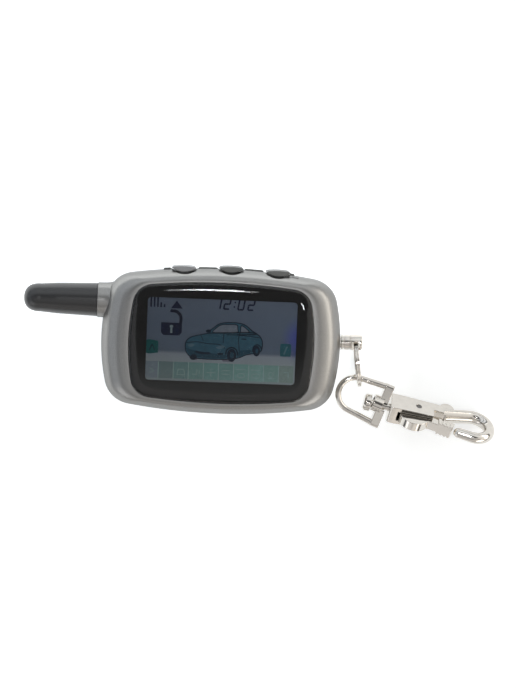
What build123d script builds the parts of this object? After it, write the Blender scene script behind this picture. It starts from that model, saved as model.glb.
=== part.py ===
# Pager-style car alarm key fob: a two-shell pocket remote with a display, a stub antenna and a
# swivel snap hook on its key post. Millimetres. The fob lies on its back: +Z is the way the display
# faces, +X points from the antenna end to the key post, and +Y points to the side with the buttons.
# The origin is the centre of the flat rear face.
import os
from math import asin, cos, degrees, radians, sin, sqrt

from build123d import *

# Housing
body_length = 65.3
body_width = 39.6
split_z = 9.0  # parting plane of the two shells
front_top = 17.3  # height of the silver rim where it meets the window
wall = 1.8
rear_floor = 1.5
front_roof = 1.35
long_side_radius = 196.0  # bow of the button side and of the side opposite
short_side_radius = 70.0  # bow of the two ends
corner_radius = 7.7
rim_corner_radius = 6.2
front_inset_x = 7.3
front_inset_y = 3.2
rear_inset_x = 4.6
rear_inset_y = 3.0
straight_flank = 1.6  # upright part of each flank beside the parting plane
section_angles = (0, 24, 46, 68, 90)  # where the quarter ellipse of each flank has a section
shell_gap = 0.02
over = 1.0  # how far a cut runs past what it cuts

# Window and display
window_length = 50.0
window_width = 32.6
window_corner = 5.6
window_seat = 0.95  # depth of the rebate in the rim
window_rise = 0.75  # how far the window's face stands above the rim
window_roll_in = 2.6  # width of the rolled edge of the window
window_roll_angles = (0, 30, 60, 90)
window_ledge = 1.7
mask_thickness = 0.15
fit_gap = 0.1
view_length = 40.4
view_width = 22.4
view_y = 0.6
view_corner = 1.0
glass_length = 43.4
glass_width = 26.0
glass_thickness = 0.7
glass_contact_ledge = 1.9
diffuser_thickness = 1.2
board_thickness = 0.8
stack_gap = 0.1
board_edge_gap = 1.2
strip_width = 1.2
strip_inset = 0.25

# Buttons
button_first_x = -10.8
button_pitch = 12.85
button_count = 3
button_travel = 0.4
button_height = 9.4
button_proud = 0.8
button_crown = 0.18
button_half_width = 3.3
button_shoulder = 0.45
button_edge = 0.2
scallop_radius = 5.8
scallop_depth = 1.3
scallop_floor_z = 3.9
button_gap = 0.1
stem_width = 3.0
stem_height = 4.0
flange_margin = 0.8
flange_thickness = 0.6
plunger_radius = 0.8
plunger_length = 0.7
guide_pad = 1.3  # extra wall behind the buttons
guide_overhang = 5.4
web_height = 2.4
web_depth = 0.9
web_proud = 0.3
web_left = 5.5
web_right = 4.4
switch_size = 6.0
switch_depth = 3.0
switch_height = 5.0
switch_free_gap = 0.2
switch_stub = 0.5

# Antenna
antenna_edge = 9.8  # from the button side to the antenna's axis
collar_length = 1.25
sleeve_length = 20.15
collar_radius = 4.75
# The collar spreads into the housing: distance from its end, and how much wider it is there
collar_flare = [(0, 0), (2.2, 0.06), (3.9, 0.35), (5.2, 1.1), (6.3, 2.3)]
sleeve_base_radius = 4.55
sleeve_tip_radius = 3.85
sleeve_nose = 4.6
sleeve_flare = 11.1  # from the collar to where the sleeve's taper changes
sleeve_flare_radius = 4.2
sleeve_wall_gap = 0.12
ferrule_radius = 2.5
ferrule_reach = 3.2
ferrule_flange_radius = 3.1
ferrule_flange = 1.0
socket_depth = 2.2  # of the antenna socket behind the inner face of the end wall
socket_radius = 4.2
rod_radius = 0.8
rod_tip_cover = 2.2
running_gap = 0.05

# Battery, its door and its contacts
cell_radius = 5.25
cell_length = 44.5
cell_nub_radius = 1.9
cell_nub_length = 0.8
cell_edge_radius = 0.4
cell_side = 10.6  # from the long side to the cell's axis
cell_floor_gap = 0.25
spring_room = 1.6
spring_base_radius = 3.6
spring_tip_radius = 1.8
spring_base_height = 0.6
cone_room = 0.8
cone_base_radius = 2.4
cone_tip_radius = 1.0
door_thickness = 1.2
door_top_margin = 0.75
door_tongue_start = 3.0  # from the lid's inner edge
door_gap = 0.15
door_tongue = 0.7
door_tongue_thickness = 0.6
door_grip_ridges = 5
door_grip_length = 10.0
door_grip_inset = 2.0
door_grip_pitch = 1.0
door_grip_depth = 0.3
bay_rib = 1.0
bay_rib_drop = 0.4  # below the parting plane
contact_thickness = 0.4
contact_width = 8.0
contact_top_gap = 1.4
contact_tail_width = 2.0

# Case screws
boss_clear = 0.25
cell_screw_offset = 2.7  # of the two screws by the cell, from its axis
corner_screw_inset = (7.85, 8.5)  # of the third screw, from the housing's end and its button side
screw_radius = 0.95
screw_head_radius = 1.6
screw_head_height = 1.3
screw_length = 12.0
screw_seat_z = 2.8
screw_cross_width = 0.4
screw_cross_depth = 0.5
screw_cross_reach = 1.12
boss_radius = 2.1

# Parts under the board: places are from the middle of the room between the cell and the switches
motor_radius = 2.5
motor_length = 10.0
motor_place = (12.0, 1.3)
motor_height = 6.9  # of its axis above the floor
weight_radius = 2.35
weight_length = 3.4
weight_gap = 0.6
shaft_radius = 0.4
saddle_length = 7.0
saddle_inset = 1.0
buzzer_radius = 5.0
buzzer_height = 3.4
buzzer_place = (2.6, 0.4)
sound_hole_radius = 0.5
sound_hole_circle = 2.6
sound_hole_count = 6
chip_size = 8.0
chip_height = 1.2
chip_place = (-7.6, -0.9)
shield_size = (12.0, 11.0, 2.6)
shield_place = (-21.0, 2.9)
shield_skin = 0.2
crystal_radius = 1.0
crystal_length = 6.2
crystal_place = (-21.2, -4.2)
part_gap = 0.3

# Key post and link ring
post_y = 1.0
post_neck_radius = 1.6
post_flange_radius = 2.8
post_radius = 2.15
post_groove_radius = 1.65
post_reach = 6.15  # beyond the housing's end
post_flange_thickness = 1.1
post_ring_length = 0.6
post_groove_length = 0.3
post_barrel_length = 1.3
post_line_width = 0.15
post_hole_radius = 1.15
post_hole_inset = 1.8  # from the post's end
post_chamfer = 0.3
ring_mean_radius = 6.3
ring_radial = 0.85
ring_axial = 1.15
ring_chamfer = 0.15
ring_seam = 0.12
ring_swing = 8.5  # how far the ring has swung away from the housing
floor_gap = 0.06

# D-ring and swivel hook: places are in the hook's own frame, x along its axis from the swivel
bow_wire_radius = 0.875
bow_radius = 4.75
bow_offset = (-0.95, -3.05)  # of the bow's centre from the link ring's wire
bow_axis_angle = -20.5
arm_splay = 5.0
plate_middle = 8.0
plate_thickness = 2.4
plate_height = 2.8
swivel_boss_radius = 2.4
swivel_boss_length = 1.5
swivel_bore_radius = 1.75
hook_axis_angle = -11.5
hook_roll = -59.0
stem_radius = 1.1
rivet_head_radius = 2.4
rivet_head_length = 1.9
rivet_head_start = -5.2
rivet_edge = 0.5
hook_start = 2.1
hook_collar_length = 1.5
hook_width = 6.5
hook_thickness = 5.4
hook_nose_x = 17.4
hook_nose_width = 5.6
hook_nose_thickness = 4.6
hook_nose_rise = 0.7  # of the nose's middle, towards the loop's limb
hook_taper_start = 5.1
hook_edge = 0.6
channel_width = 3.0
channel_start = 4.4
channel_floor = 1.7
cheek_end_x = 14.4
cheek_cut_y = 0.5
channel_overrun = 0.6
loop_centre_x = 26.3
loop_radius = 4.55
loop_root_angle = 108.0
loop_end_angle = -98.0
loop_root_width = 1.7  # half of the limb's oval section, in the loop's plane
loop_root_depth = 2.35  # half of it across the plane
loop_tip_tube = 1.45
limb_root_x = 14.0
tip_run = 3.6
lug_radius = 2.0
lug_x = 18.2
lug_y = 3.6
lug_inset = 0.5
pin_place = (10.0, 0.3)
pin_radius = 0.8
pin_inset = 0.35
lever_width = 2.6
lever_nose_width = 3.8
lever_nose_start = 16.0
lever_hub_radius = 1.25
nose_gap = 0.3
ridge_count = 3
ridge_pitch = 1.1
ridge_depth = 0.3
ridge_first = 0.9
ridge_width = 0.4
ridge_length = 4.0
ridge_y = -3.6
ridge_angle = -10.0
# The lever's outline in the hook's frame, from the heel round by the thumb side
heel = (4.9, -2.7)
belly = (9.0, -6.3)
arm_start = (13.2, -3.7)
nose_out = (21.2, -5.3)
nose_in = (21.2, -3.2)
arm_inner = (13.4, -1.5)
heel_inner = (5.2, -1.1)


def barrel(length, width, corner):
    """A rectangle with four sides that bow outwards and rounded corners."""
    side_bow = length**2 / (8 * long_side_radius)
    end_bow = width**2 / (8 * short_side_radius)
    x, y = length / 2, width / 2
    cx, cy = x - end_bow, y - side_bow
    sides = [
        ThreePointArc((-cx, cy), (0, y), (cx, cy)),
        ThreePointArc((cx, cy), (x, 0), (cx, -cy)),
        ThreePointArc((cx, -cy), (0, -y), (-cx, -cy)),
        ThreePointArc((-cx, -cy), (-x, 0), (-cx, cy)),
    ]
    outline = make_face(sides)
    return fillet(outline.vertices(), corner)


def half_shell(far_z, inset_x, inset_y, offset):
    """One half of the housing's form: upright at the parting plane, then a quarter ellipse inwards."""
    direction = 1 if far_z > split_z else -1
    turn_z = split_z + direction * straight_flank
    length, width = body_length - 2 * offset, body_width - 2 * offset
    sections = [Pos(0, 0, split_z) * barrel(length, width, corner_radius - offset)]
    for angle in section_angles:
        share = 1 - cos(radians(angle))
        z = turn_z + (far_z - turn_z) * sin(radians(angle))
        corner = corner_radius - offset - (corner_radius - rim_corner_radius) * share
        section = barrel(length - 2 * inset_x * share, width - 2 * inset_y * share, corner)
        sections.append(Pos(0, 0, z) * section)
    return loft(sections)


def along_x(x0, x1, y, z, radius):
    """A round bar along X."""
    return Pos((x0 + x1) / 2, y, z) * Rot(Y=90) * Cylinder(radius, x1 - x0)


def upright(x, y, z0, z1, radius):
    """A round bar along Z."""
    return Pos(x, y, (z0 + z1) / 2) * Cylinder(radius, z1 - z0)


def block(x0, x1, y0, y1, z0, z1):
    """A box by its six faces."""
    return Pos((x0 + x1) / 2, (y0 + y1) / 2, (z0 + z1) / 2) * Box(x1 - x0, y1 - y0, z1 - z0)


def flank_y(x):
    """Y of the housing's button side at the parting plane."""
    return body_width / 2 - x**2 / (2 * long_side_radius)


def spin_x(points, y, z):
    """A turned piece about a line along X: points are (x, radius)."""
    profile = [(points[0][0], 0)] + points + [(points[-1][0], 0)]
    face = make_face(Polyline([(x, r, 0) for x, r in profile], close=True))
    return Pos(0, y, z) * revolve(face, Axis.X)


half_body = body_length / 2
side_y = body_width / 2
button_xs = [button_first_x + n * button_pitch for n in range(button_count)]
far = 4 * body_length
end_wall_x = half_body - wall
window_seat_z = front_top - window_seat
window_z = window_seat_z + mask_thickness
roof_z = front_top - front_roof
glass_top = roof_z - stack_gap
glass_step = glass_top - glass_thickness
glass_bottom = glass_step - glass_thickness
diffuser_top = glass_bottom - stack_gap
diffuser_bottom = diffuser_top - diffuser_thickness
board_top = diffuser_bottom - stack_gap
board_bottom = board_top - board_thickness
antenna_y = side_y - antenna_edge
collar_end_x = -half_body - collar_length
antenna_tip_x = collar_end_x - sleeve_length
cell_x = (spring_room - cone_room) / 2
cell_y = cell_side - side_y
cell_z = door_thickness + cell_floor_gap + cell_radius
cell_edge_y = cell_y + cell_radius
bay_end = (cell_length + spring_room + cone_room) / 2 + contact_thickness
door_half = bay_end + door_gap
door_top_y = cell_edge_y + door_top_margin
bay_rib_top = split_z - bay_rib_drop
guide_inner_y = flank_y(button_xs[-1]) - wall - guide_pad
switch_stub_y = guide_inner_y - fit_gap - flange_thickness - plunger_length - button_travel - switch_free_gap
under_y = (cell_edge_y + switch_stub_y - switch_stub - switch_depth) / 2
screw_x = bay_end + bay_rib + boss_clear + boss_radius
screw_places = [
    (-screw_x, cell_y + cell_screw_offset),
    (screw_x, cell_y + cell_screw_offset),
    (half_body - corner_screw_inset[0], side_y - corner_screw_inset[1]),
]
parts = {}


# Shells
front_form = half_shell(front_top, front_inset_x, front_inset_y, 0)
rear_form = half_shell(0, rear_inset_x, rear_inset_y, 0)
front_room = half_shell(roof_z, front_inset_x, front_inset_y, wall)
rear_room = half_shell(rear_floor, rear_inset_x, rear_inset_y, wall)
above = block(-far, far, -far, far, split_z + shell_gap, far)
below = block(-far, far, -far, far, -far, split_z)

flare = [(collar_end_x + distance, collar_radius + wider) for distance, wider in collar_flare]
collar_profile = [
    Line((collar_end_x, 0), flare[0]),
    Spline(*flare),
    Line(flare[-1], (flare[-1][0], 0)),
    Line((flare[-1][0], 0), (collar_end_x, 0)),
]
collar = Pos(0, antenna_y, split_z) * revolve(make_face(collar_profile), Axis.X) - front_room - rear_room
socket_x = -end_wall_x + socket_depth
socket = along_x(-end_wall_x - wall / 2, socket_x, antenna_y, split_z, socket_radius)
guide_left = button_xs[0] - guide_overhang
guide_right = button_xs[-1] + guide_overhang
guide = block(guide_left, guide_right, guide_inner_y, flank_y(0) - scallop_depth,
              split_z - button_height / 2, split_z + button_height / 2)


def button_hole(x):
    """What one button needs cut from the shells: its scallop and the hole for its stem."""
    scoop = upright(x, flank_y(x) - scallop_depth + scallop_radius, scallop_floor_z, far, scallop_radius)
    hole_width = stem_width + 2 * button_gap
    hole_height = stem_height + 2 * button_gap
    hole = Pos(x, flank_y(x), split_z) * Box(hole_width, 2 * (wall + guide_pad + scallop_depth), hole_height)
    return scoop + hole


web_circle = Pos(0, body_width / 2 - long_side_radius)


def web_band(depth, proud, height, slack):
    """The strip along the button side, as a band of the side's own arc."""
    left = button_xs[0] - web_left - slack
    right = button_xs[-1] + web_right + slack
    band = web_circle * (Circle(long_side_radius + proud) - Circle(long_side_radius - depth))
    window = Pos((left + right) / 2, body_width / 2) * Rectangle(right - left, 4 * (depth + proud))
    return extrude(Pos(0, 0, split_z - height / 2) * (band & window), height)


web_groove = web_band(web_depth + running_gap, over, web_height + 2 * running_gap, running_gap)
ferrule_bore = along_x(collar_end_x - over, socket_x + over, antenna_y, split_z, ferrule_radius + running_gap)
flange_room = along_x(socket_x, socket_x + 2 * ferrule_flange, antenna_y, split_z, ferrule_flange_radius + fit_gap)
post_bore = along_x(end_wall_x - over, half_body + over, post_y, split_z, post_neck_radius + running_gap)
cuts = [button_hole(x) for x in button_xs] + [web_groove, ferrule_bore, flange_room, post_bore]

window_pocket = extrude(
    Pos(0, 0, window_seat_z)
    * barrel(window_length + 2 * fit_gap, window_width + 2 * fit_gap, window_corner + fit_gap),
    2 * window_seat,
)
view_hole = extrude(
    Pos(0, 0, roof_z - over)
    * barrel(window_length - 2 * window_ledge, window_width - 2 * window_ledge, window_corner - window_ledge),
    front_roof + over,
)

front_cover = (front_form - front_room) + (collar & above) + (guide & above) + (socket & front_form)
for x, y in screw_places:
    front_cover += upright(x, y, split_z + shell_gap, front_top, boss_radius) & front_form
for cut in cuts:
    front_cover -= cut
front_cover -= window_pocket
front_cover -= view_hole
for x, y in screw_places:
    front_cover -= upright(x, y, 0, screw_seat_z + screw_length + part_gap, screw_radius + running_gap / 2)
parts["front_cover"] = front_cover & above

rear_cover = (rear_form - rear_room) + (collar & below) + (guide & below) + (socket & rear_form)
rib_foot_z = rear_floor / 2  # inside the floor, so that rib and floor are one
for x, y in screw_places:
    rear_cover += upright(x, y, rib_foot_z, split_z, boss_radius) & rear_form
for side in (-1, 1):
    x0, x1 = sorted((side * bay_end, side * (bay_end + bay_rib)))
    rear_cover += block(x0, x1, cell_y - cell_radius, cell_edge_y, rib_foot_z, bay_rib_top)
rear_cover += block(-bay_end, bay_end, door_top_y + door_gap, door_top_y + door_gap + bay_rib,
                    rib_foot_z, bay_rib_top)
motor_x, motor_y, motor_z = motor_place[0], under_y + motor_place[1], rear_floor + motor_height
saddle_x = motor_x + saddle_inset
saddle = block(saddle_x, saddle_x + saddle_length, motor_y - motor_radius, motor_y + motor_radius,
               rib_foot_z, motor_z - motor_radius / 2)
rear_cover += saddle
rear_cover -= along_x(motor_x, motor_x + motor_length, motor_y, motor_z, motor_radius + running_gap)
for cut in cuts:
    rear_cover -= cut
for x, y in screw_places:
    rear_cover -= upright(x, y, -over, split_z, screw_radius + fit_gap)
    rear_cover -= upright(x, y, -over, screw_seat_z, screw_head_radius + fit_gap)
rear_cover -= block(-door_half - door_gap, door_half + door_gap, -far, door_top_y + door_gap,
                    -over, door_thickness + door_gap)
rear_cover -= block(-bay_end, bay_end, cell_y - cell_radius - door_gap, door_top_y, -over, rear_floor + over)
tongue_z = door_thickness / 2
tongue_reach = door_half + door_tongue
tongue_top_y = door_top_y - door_tongue_start
rear_cover -= block(-tongue_reach - door_gap, tongue_reach + door_gap, -far, tongue_top_y + part_gap,
                    tongue_z - door_tongue_thickness / 2 - door_gap,
                    tongue_z + door_tongue_thickness / 2 + door_gap)
buzzer_y = under_y + buzzer_place[1]
for n in range(sound_hole_count):
    angle = 360 * n / sound_hole_count
    spot = Vector(buzzer_place[0], buzzer_y) + Vector(sound_hole_circle, 0).rotate(Axis.Z, angle)
    rear_cover -= upright(spot.X, spot.Y, -over, rear_floor + over, sound_hole_radius)
parts["rear_cover"] = rear_cover & below

# Battery door: the outside of the rear shell, cut out as a sliding lid with a tongue on each side
lid_room = block(-door_half, door_half, -far, door_top_y, -over, door_thickness)
tongue_room = block(-tongue_reach, tongue_reach, cell_y - cell_radius, tongue_top_y,
                    tongue_z - door_tongue_thickness / 2, tongue_z + door_tongue_thickness / 2)
door = (rear_form & lid_room) + (rear_form & tongue_room)
for n in range(door_grip_ridges):
    y = door_top_y - door_grip_inset - n * door_grip_pitch
    door -= block(-door_grip_length / 2, door_grip_length / 2, y - door_grip_depth, y, -over, door_grip_depth)
parts["battery_door"] = door

# Window: a clear plate with a rolled edge, printed black round the view on its back
sections = []
for angle in window_roll_angles:
    inset = 2 * window_roll_in * (1 - cos(radians(angle)))
    z = front_top + window_rise * sin(radians(angle))
    face = barrel(window_length - inset, window_width - inset, window_corner - inset / 4)
    sections.append(Pos(0, 0, z) * face)
plate = extrude(Pos(0, 0, window_z) * barrel(window_length, window_width, window_corner), front_top - window_z)
parts["display_window"] = plate + loft(sections)
mask = barrel(window_length, window_width, window_corner)
mask -= Pos(0, view_y) * RectangleRounded(view_length, view_width, view_corner)
parts["window_mask"] = extrude(Pos(0, 0, window_seat_z) * mask, mask_thickness)

# Display stack
half_glass = glass_width / 2
step_half = half_glass - glass_contact_ledge
parts["lcd_front_glass"] = block(-glass_length / 2, glass_length / 2, view_y - half_glass, view_y + half_glass,
                                 glass_step, glass_top)
parts["lcd_rear_glass"] = block(-glass_length / 2, glass_length / 2, view_y - step_half, view_y + step_half,
                                glass_bottom, glass_step)
parts["backlight_diffuser"] = block(-glass_length / 2, glass_length / 2, view_y - step_half,
                                    view_y + step_half, diffuser_bottom, diffuser_top)
strips = []
for side in (-1, 1):
    y = view_y + side * (half_glass - strip_inset - strip_width / 2)
    strips.append(block(-view_length / 2, view_length / 2, y - strip_width / 2, y + strip_width / 2,
                        board_top, glass_step))
parts["contact_strips"] = Compound(strips)

board_length = body_length - 2 * (wall + board_edge_gap)
board_width = body_width - 2 * (wall + guide_pad + board_edge_gap)
board = extrude(Pos(0, 0, board_bottom) * barrel(board_length, board_width, corner_radius - wall), board_thickness)
for x, y in screw_places:
    board -= upright(x, y, board_bottom - over, board_top + over, boss_radius + part_gap)
parts["main_board"] = board - along_x(-half_body, socket_x + part_gap, antenna_y, split_z, socket_radius + part_gap)


def under_board(size, place):
    """A component hanging under the board."""
    length, width, height = size
    return Pos(place[0], under_y + place[1], board_bottom - height / 2) * Box(length, width, height)


shield = under_board(shield_size, shield_place)
inner_size = (shield_size[0] - 2 * shield_skin, shield_size[1] - 2 * shield_skin, shield_size[2] - shield_skin)
parts["radio_shield"] = shield - under_board(inner_size, shield_place)
parts["processor_chip"] = under_board((chip_size, chip_size, chip_height), chip_place)
crystal_x = crystal_place[0] - crystal_length / 2
parts["crystal_can"] = along_x(crystal_x, crystal_x + crystal_length, under_y + crystal_place[1],
                               board_bottom - crystal_radius, crystal_radius)
parts["buzzer"] = upright(buzzer_place[0], buzzer_y, board_bottom - buzzer_height, board_bottom, buzzer_radius)

# Vibration motor: its can lies in the saddle, its weight hangs on the shaft
motor_end = motor_x + motor_length
can = along_x(motor_x, motor_end, motor_y, motor_z, motor_radius)
parts["vibration_motor"] = can - along_x(motor_end - motor_length / 2, motor_end + over, motor_y, motor_z,
                                         shaft_radius + running_gap)
weight_x = motor_end + weight_gap
weight = along_x(weight_x, weight_x + weight_length, motor_y, motor_z, weight_radius)
weight -= block(0, half_body, motor_y - far, motor_y + far, motor_z + shaft_radius, far)
weight += along_x(motor_end - motor_length / 2 + part_gap, weight_x + weight_length, motor_y, motor_z, shaft_radius)
parts["motor_weight"] = weight

# Battery and contacts
cell_start = cell_x - cell_length / 2
cell_end = cell_x + cell_length / 2 - cell_nub_length
parts["battery_cell"] = spin_x(
    [(cell_start, cell_radius - cell_edge_radius), (cell_start + cell_edge_radius, cell_radius),
     (cell_end - cell_edge_radius, cell_radius), (cell_end, cell_radius - cell_edge_radius),
     (cell_end, cell_nub_radius), (cell_end + cell_nub_length, cell_nub_radius)],
    cell_y, cell_z)


def contact_plate(x0, x1):
    """A flat battery contact with a tail up to the board."""
    plate = block(x0, x1, cell_y - contact_width / 2, cell_y + contact_width / 2,
                  rear_floor + part_gap, board_bottom - contact_top_gap)
    tail = block(x0, x1, cell_y - contact_tail_width / 2, cell_y + contact_tail_width / 2,
                 board_bottom - contact_top_gap, board_bottom)
    return plate + tail


negative = contact_plate(-bay_end, -bay_end + contact_thickness)
spring_start = -bay_end + contact_thickness
negative += spin_x(
    [(spring_start, spring_base_radius), (spring_start + spring_base_height, spring_base_radius),
     (cell_start - running_gap, spring_tip_radius)], cell_y, cell_z)
parts["negative_contact"] = negative
positive = contact_plate(bay_end - contact_thickness, bay_end)
nub_face = cell_end + cell_nub_length + running_gap
positive += spin_x([(nub_face, cone_tip_radius), (bay_end - contact_thickness, cone_base_radius)], cell_y, cell_z)
parts["positive_contact"] = positive

# Case screws
screws = []
for x, y in screw_places:
    head = upright(x, y, screw_seat_z - screw_head_height, screw_seat_z, screw_head_radius)
    shank = upright(x, y, screw_seat_z, screw_seat_z + screw_length, screw_radius)
    cross_top = screw_seat_z - screw_head_height + screw_cross_depth
    for dx, dy in ((screw_cross_reach, screw_cross_width / 2), (screw_cross_width / 2, screw_cross_reach)):
        head -= block(x - dx, x + dx, y - dy, y + dy, 0, cross_top)
    screws.append(head + shank)
parts["case_screws"] = Compound(screws)

# Antenna
nose_x = antenna_tip_x + sleeve_nose
sleeve_base_x = collar_end_x - sleeve_wall_gap
sleeve_flare_x = collar_end_x - sleeve_flare
outline = [
    Line((sleeve_base_x, 0), (sleeve_base_x, sleeve_base_radius)),
    Line((sleeve_base_x, sleeve_base_radius), (sleeve_flare_x, sleeve_flare_radius)),
    Line((sleeve_flare_x, sleeve_flare_radius), (nose_x, sleeve_tip_radius)),
    Spline((nose_x, sleeve_tip_radius), (antenna_tip_x, 0), tangents=[(-1, 0.04), (0, -1)]),
    Line((antenna_tip_x, 0), (sleeve_base_x, 0)),
]
sleeve = Pos(0, antenna_y, split_z) * revolve(make_face(outline), Axis.X)
ferrule_tip = collar_end_x - ferrule_reach
sleeve -= along_x(ferrule_tip - running_gap, sleeve_base_x + over, antenna_y, split_z, ferrule_radius + running_gap)
rod_tip = antenna_tip_x + rod_tip_cover
sleeve -= along_x(rod_tip, ferrule_tip, antenna_y, split_z, rod_radius + running_gap)
parts["antenna_sleeve"] = sleeve
flange_x = socket_x + running_gap
ferrule = along_x(ferrule_tip, flange_x + ferrule_flange, antenna_y, split_z, ferrule_radius)
ferrule += along_x(flange_x, flange_x + ferrule_flange, antenna_y, split_z, ferrule_flange_radius)
ferrule -= along_x(ferrule_tip - over, flange_x + ferrule_flange + over, antenna_y, split_z, rod_radius + running_gap)
parts["antenna_ferrule"] = ferrule
parts["antenna_rod"] = along_x(rod_tip + running_gap, flange_x + ferrule_flange + part_gap, antenna_y, split_z,
                               rod_radius)

# Buttons, the web between them and their switches
web = web_band(web_depth, web_proud, web_height, 0)
for x in button_xs:
    web -= upright(x, flank_y(x) - scallop_depth + scallop_radius, 0, far, scallop_radius)
parts["button_web"] = web
switches = []
for number, x in enumerate(button_xs, start=1):
    back_shift = button_travel + button_gap
    arc_centre_y = scallop_radius - scallop_depth + back_shift
    foot_y = arc_centre_y - sqrt(scallop_radius**2 - button_half_width**2)
    top_y = button_proud - button_crown
    shoulder_x = button_half_width - button_shoulder
    edge = [
        ThreePointArc((-button_half_width, foot_y), (0, arc_centre_y - scallop_radius), (button_half_width, foot_y)),
        Line((button_half_width, foot_y), (shoulder_x, top_y)),
        ThreePointArc((shoulder_x, top_y), (0, button_proud), (-shoulder_x, top_y)),
        Line((-shoulder_x, top_y), (-button_half_width, foot_y)),
    ]
    place = Pos(x, flank_y(x), split_z)
    cap = place * Pos(0, 0, -button_height / 2) * extrude(make_face(edge), button_height)
    cap = fillet(cap.edges().filter_by(Axis.Z, reverse=True), button_edge)
    flange_outer = guide_inner_y - fit_gap
    stem_end = flank_y(x) - scallop_depth / 2
    cap += block(x - stem_width / 2, x + stem_width / 2, flange_outer - flange_thickness, stem_end,
                 split_z - stem_height / 2, split_z + stem_height / 2)
    cap += block(x - stem_width / 2 - flange_margin, x + stem_width / 2 + flange_margin,
                 flange_outer - flange_thickness, flange_outer,
                 split_z - stem_height / 2 - flange_margin, split_z + stem_height / 2 + flange_margin)
    plunger_y = flange_outer - flange_thickness - plunger_length
    cap += Pos(x, plunger_y + plunger_length / 2, split_z) * Rot(X=90) * Cylinder(plunger_radius, plunger_length)
    parts[f"button_{number}"] = cap
    switch_face_y = switch_stub_y - switch_stub
    switch = block(x - switch_size / 2, x + switch_size / 2, switch_face_y - switch_depth, switch_face_y,
                   board_bottom - switch_height, board_bottom)
    switch += Pos(x, switch_stub_y - switch_stub / 2, split_z) * Rot(X=90) * Cylinder(plunger_radius, switch_stub)
    switches.append(switch)
parts["tact_switches"] = Compound(switches)

# Key post: turned, with its inner flange behind the wall and a cross hole for the link ring
lean = asin((split_z - ring_mean_radius - ring_radial / 2 - floor_gap) / ring_mean_radius)
inner_x = end_wall_x - part_gap
outer_x = half_body + part_gap
groove_x = outer_x + post_ring_length
barrel_x = groove_x + post_groove_length
line_x = barrel_x + post_barrel_length
post_end_x = half_body + post_reach
post_hole_x = post_end_x - post_hole_inset
post = spin_x(
    [(inner_x - post_flange_thickness, post_flange_radius), (inner_x, post_flange_radius),
     (inner_x, post_neck_radius), (outer_x, post_neck_radius), (outer_x, post_radius), (groove_x, post_radius),
     (groove_x, post_groove_radius), (barrel_x, post_groove_radius), (barrel_x, post_radius),
     (line_x, post_radius), (line_x + post_line_width, post_groove_radius), (line_x + 2 * post_line_width, post_radius),
     (post_end_x - post_chamfer, post_radius), (post_end_x, post_radius - post_chamfer)],
    post_y, split_z)
hole_frame = Pos(post_hole_x, post_y, split_z) * Rot(X=degrees(lean))
post -= hole_frame * Cylinder(post_hole_radius, 4 * post_radius)
parts["key_post"] = post

# Link ring: two turns of flat wire pressed together, which shows as a seam round its edge
r_in, r_out = ring_mean_radius - ring_radial / 2, ring_mean_radius + ring_radial / 2
a, c, s = ring_axial / 2, ring_chamfer, ring_seam
section = [(r_in, -a + c), (r_in, a - c), (r_in + c, a), (r_out - c, a), (r_out, a - c), (r_out, s),
           (r_out - s, 0), (r_out, -s), (r_out, -a + c), (r_out - c, -a), (r_in + c, -a)]
ring = revolve(make_face(Polyline([(r, 0, z) for r, z in section], close=True)), Axis.Z)
ring_centre = hole_frame * Rot(Z=ring_swing) * Pos(0, -ring_mean_radius, 0)
parts["link_ring"] = ring_centre * Rot(Y=90) * ring

# D-ring: a bow of wire whose two arms end in a cross plate with a loose bore for the hook's rivet
tilt = radians(-hook_roll)
chain_z = loop_radius * sin(tilt)  # this and the limb's half height put the hook's loop on the table
chain_z += sqrt((loop_root_width * sin(tilt)) ** 2 + (loop_root_depth * cos(tilt)) ** 2)
wire = (ring_centre * Pos(0, -ring_mean_radius, 0)).position
bow_frame = Pos(wire.X + bow_offset[0], wire.Y + bow_offset[1], chain_z) * Rot(Z=bow_axis_angle)
splay = radians(arm_splay)
tangent = (-bow_radius * sin(splay), bow_radius * cos(splay))
reach = plate_middle - tangent[0]
arm_end = (plate_middle, tangent[1] + reach * sin(splay) / cos(splay))
path = Wire([
    Line((arm_end[0], arm_end[1]), tangent),
    ThreePointArc(tangent, (-bow_radius, 0), (tangent[0], -tangent[1])),
    Line((tangent[0], -tangent[1]), (arm_end[0], -arm_end[1])),
])
bow = sweep(Plane(origin=path @ 0, z_dir=path % 0) * Circle(bow_wire_radius), path)
plate_half = arm_end[1] + bow_wire_radius
plate = block(plate_middle - plate_thickness / 2, plate_middle + plate_thickness / 2, -plate_half, plate_half,
              -plate_height / 2, plate_height / 2)
plate = fillet(plate.edges().filter_by(Axis.X), bow_wire_radius)
boss_x = plate_middle - plate_thickness / 2 - swivel_boss_length
d_ring = bow + plate + along_x(boss_x, plate_middle, 0, 0, swivel_boss_radius)
d_ring -= along_x(boss_x - over, plate_middle + plate_thickness, 0, 0, swivel_bore_radius)
parts["d_ring"] = bow_frame * d_ring

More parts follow.
